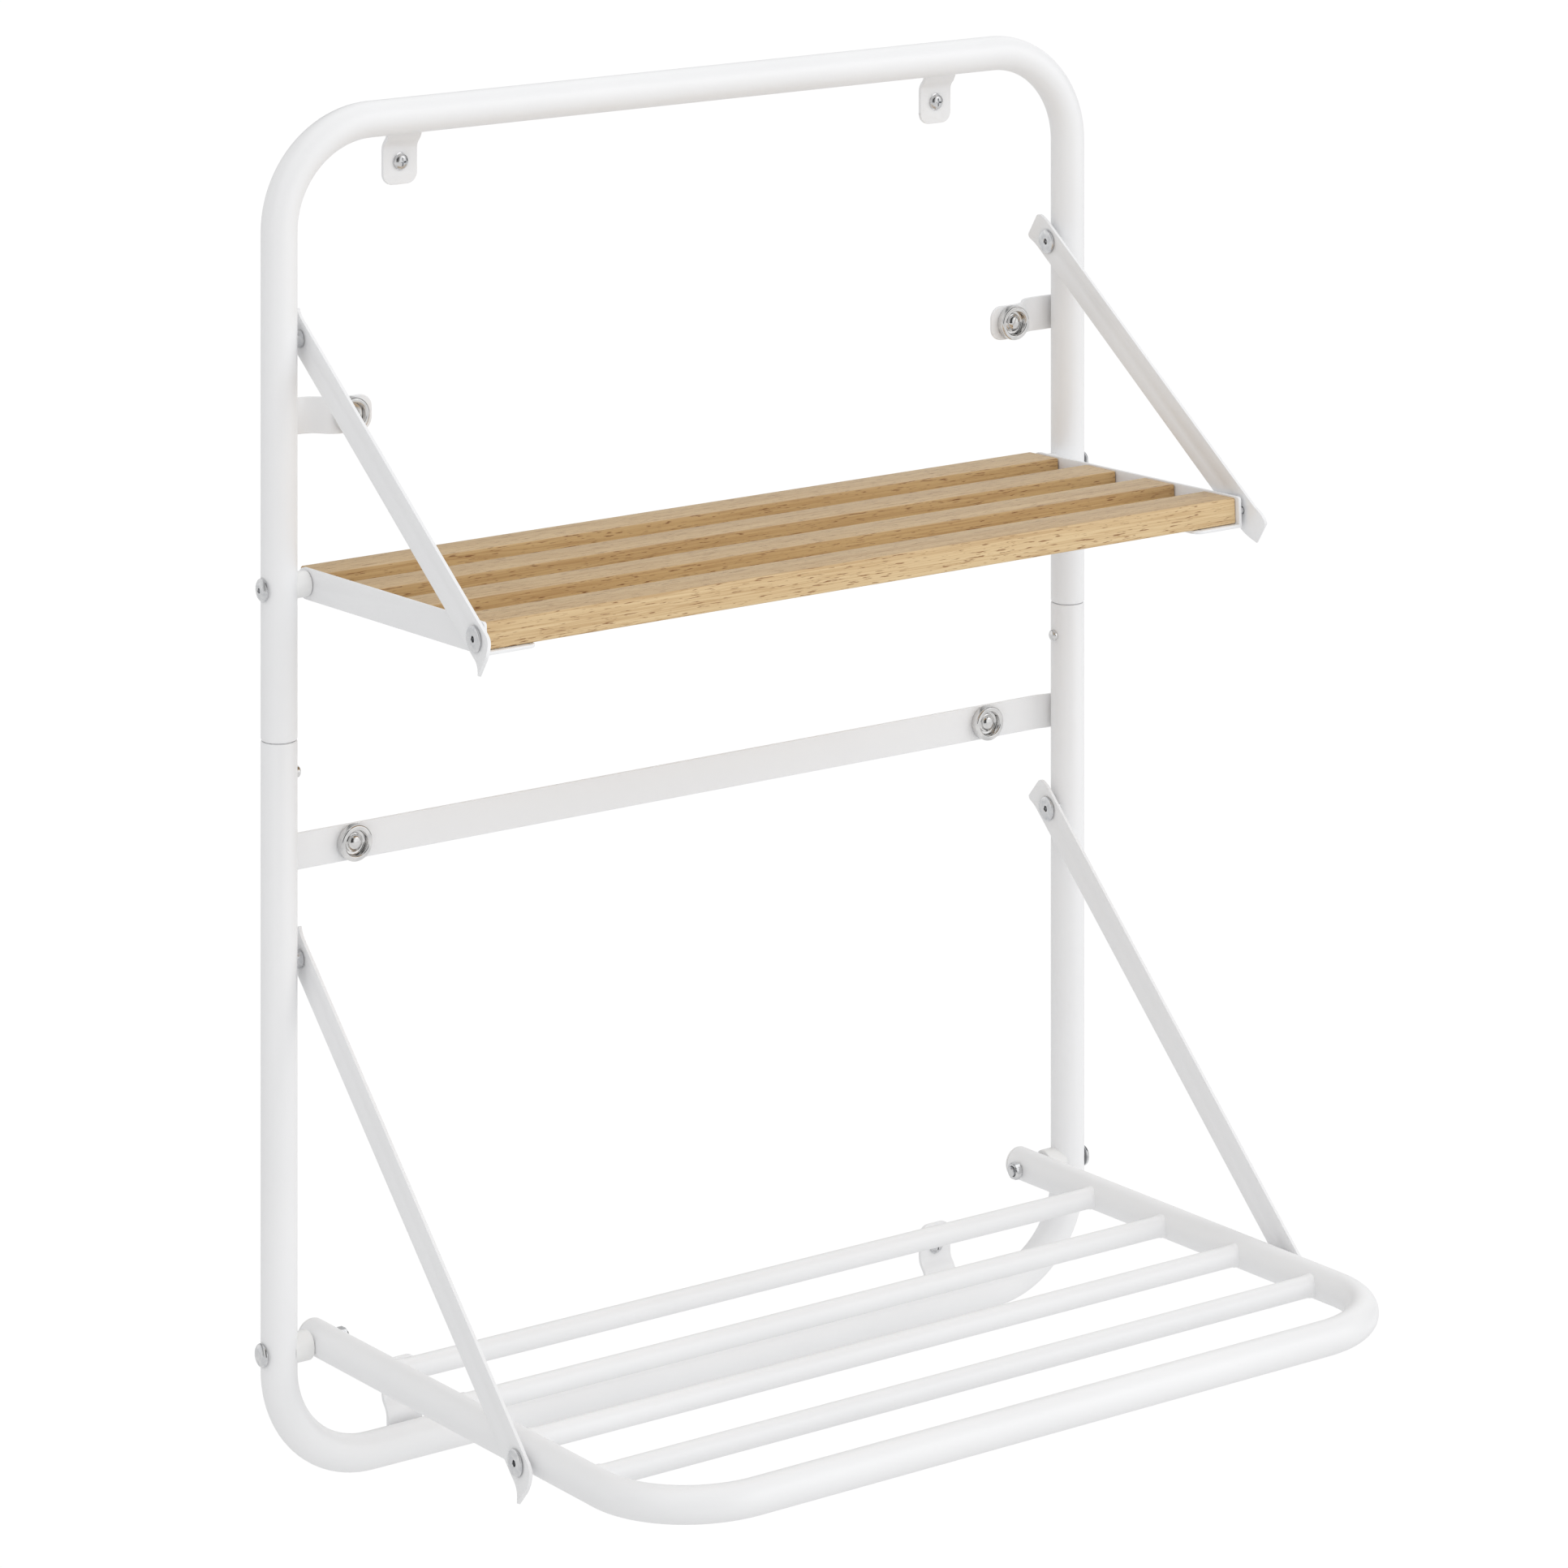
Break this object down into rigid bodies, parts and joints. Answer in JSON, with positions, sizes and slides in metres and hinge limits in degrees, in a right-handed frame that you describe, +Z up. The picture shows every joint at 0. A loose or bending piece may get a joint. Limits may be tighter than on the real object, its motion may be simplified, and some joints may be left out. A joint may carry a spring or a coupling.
{
  "type": "wall-mounted folding drying rack",
  "caption": "Wall-mounted drying rack: a white round-tube frame with a slatted wood shelf and a rod rack on braced struts, both folding up flat against magnets.",
  "frame": {"origin": "on the wall plane, on the plane of symmetry, level with the underside of the frame", "axes": "+X to the right as seen from the front, +Y into the wall, +Z up; the tiers stand out towards -Y"},
  "size_m": [0.6194, 0.403, 0.825],
  "materials": {
    "powder_coat": "satin white powder coat on steel tube and strip",
    "white_plastic": "white moulded plastic spacers and end caps",
    "zinc_steel": "bright zinc-plated steel fasteners",
    "chrome": "bright nickel-plated magnets and snap buttons",
    "oak": "light oak slats, clear satin lacquer, grain lengthwise"
  },
  "bodies": {
    "root": {"upper_frame_tube": "powder_coat", "lower_frame_tube": "powder_coat", "top_wall_tab_left": "powder_coat", "top_wall_tab_right": "powder_coat", "bottom_wall_tab_left": "powder_coat", "bottom_wall_tab_right": "powder_coat", "top_wall_screw_left": "zinc_steel", "top_wall_screw_right": "zinc_steel", "bottom_wall_screw_left": "zinc_steel", "bottom_wall_screw_right": "zinc_steel", "crossbar": "powder_coat", "catch_bracket_left": "powder_coat", "catch_bracket_right": "powder_coat", "magnet_cup_crossbar_left": "chrome", "magnet_cup_crossbar_right": "chrome", "magnet_cup_catch_left": "chrome", "magnet_cup_catch_right": "chrome", "magnet_crossbar_left": "chrome", "magnet_crossbar_right": "chrome", "magnet_catch_left": "chrome", "magnet_catch_right": "chrome", "button_spring_left": "zinc_steel", "button_spring_right": "zinc_steel", "shelf_pivot_rivet_left": "zinc_steel", "shelf_pivot_rivet_right": "zinc_steel", "shelf_pivot_spacer_left": "white_plastic", "shelf_pivot_spacer_right": "white_plastic", "rack_pivot_bolt_left": "zinc_steel", "rack_pivot_bolt_right": "zinc_steel", "rack_pivot_nut_left": "zinc_steel", "rack_pivot_nut_right": "zinc_steel", "rack_pivot_spacer_left": "white_plastic", "rack_pivot_spacer_right": "white_plastic", "shelf_strut_top_rivet_left": "zinc_steel", "shelf_strut_top_rivet_right": "zinc_steel", "rack_strut_top_rivet_left": "zinc_steel", "rack_strut_top_rivet_right": "zinc_steel"},
    "shelf": {"shelf_side_plate_left": "powder_coat", "shelf_side_plate_right": "powder_coat", "shelf_slat_1": "oak", "shelf_slat_2": "oak", "shelf_slat_3": "oak", "shelf_slat_4": "oak"},
    "rack": {"rack_tube": "powder_coat", "rack_rod_1": "powder_coat", "rack_rod_2": "powder_coat", "rack_rod_3": "powder_coat", "rack_rod_4": "powder_coat", "rack_end_cap_left": "white_plastic", "rack_end_cap_right": "white_plastic"},
    "shelf_strut_arm_left": {"shelf_strut_left": "powder_coat", "shelf_strut_low_rivet_left": "zinc_steel"},
    "shelf_strut_arm_right": {"shelf_strut_right": "powder_coat", "shelf_strut_low_rivet_right": "zinc_steel"},
    "rack_strut_arm_left": {"rack_strut_left": "powder_coat", "rack_strut_low_rivet_left": "zinc_steel"},
    "rack_strut_arm_right": {"rack_strut_right": "powder_coat", "rack_strut_low_rivet_right": "zinc_steel"},
    "button_left": {"snap_button_left": "chrome"},
    "button_right": {"snap_button_right": "chrome"}
  },
  "joints": [
    {"name": "shelf_fold", "type": "hinge", "parent": "root", "child": "shelf", "pos_m": [0, -0.02, 0.54], "axis": [-1, 0, 0], "range_deg": [0, 87.2]},
    {"name": "rack_fold", "type": "hinge", "parent": "root", "child": "rack", "pos_m": [0, -0.02, 0.084], "axis": [-1, 0, 0], "range_deg": [0, 87.2]},
    {"name": "shelf_strut_swing_left", "type": "hinge", "parent": "root", "child": "shelf_strut_arm_left", "pos_m": [-0.2795, -0.02, 0.687], "axis": [1, 0, 0], "range_deg": [0, 47.6]},
    {"name": "shelf_strut_swing_right", "type": "hinge", "parent": "root", "child": "shelf_strut_arm_right", "pos_m": [0.2795, -0.02, 0.687], "axis": [1, 0, 0], "range_deg": [0, 47.6]},
    {"name": "rack_strut_swing_left", "type": "hinge", "parent": "root", "child": "rack_strut_arm_left", "pos_m": [-0.2795, -0.02, 0.316], "axis": [1, 0, 0], "range_deg": [0, 41.6]},
    {"name": "rack_strut_swing_right", "type": "hinge", "parent": "root", "child": "rack_strut_arm_right", "pos_m": [0.2795, -0.02, 0.316], "axis": [1, 0, 0], "range_deg": [0, 41.6]},
    {"name": "snap_button_press_left", "type": "slide", "parent": "root", "child": "button_left", "axis": [-1, 0, 0], "range_m": [0, 0.003], "stiffness_N_per_m": 800, "springref_m": -0.003, "deforming": ["button_spring_left"]},
    {"name": "snap_button_press_right", "type": "slide", "parent": "root", "child": "button_right", "axis": [1, 0, 0], "range_m": [0, 0.003], "stiffness_N_per_m": 800, "springref_m": -0.003, "deforming": ["button_spring_right"]}
  ],
  "couplings": [
    {"joint": "shelf_strut_swing_left", "follows": "shelf_fold", "ratio": 0.5424},
    {"joint": "shelf_strut_swing_right", "follows": "shelf_fold", "ratio": 0.5424},
    {"joint": "rack_strut_swing_left", "follows": "rack_fold", "ratio": 0.4734},
    {"joint": "rack_strut_swing_right", "follows": "rack_fold", "ratio": 0.4734}
  ]
}
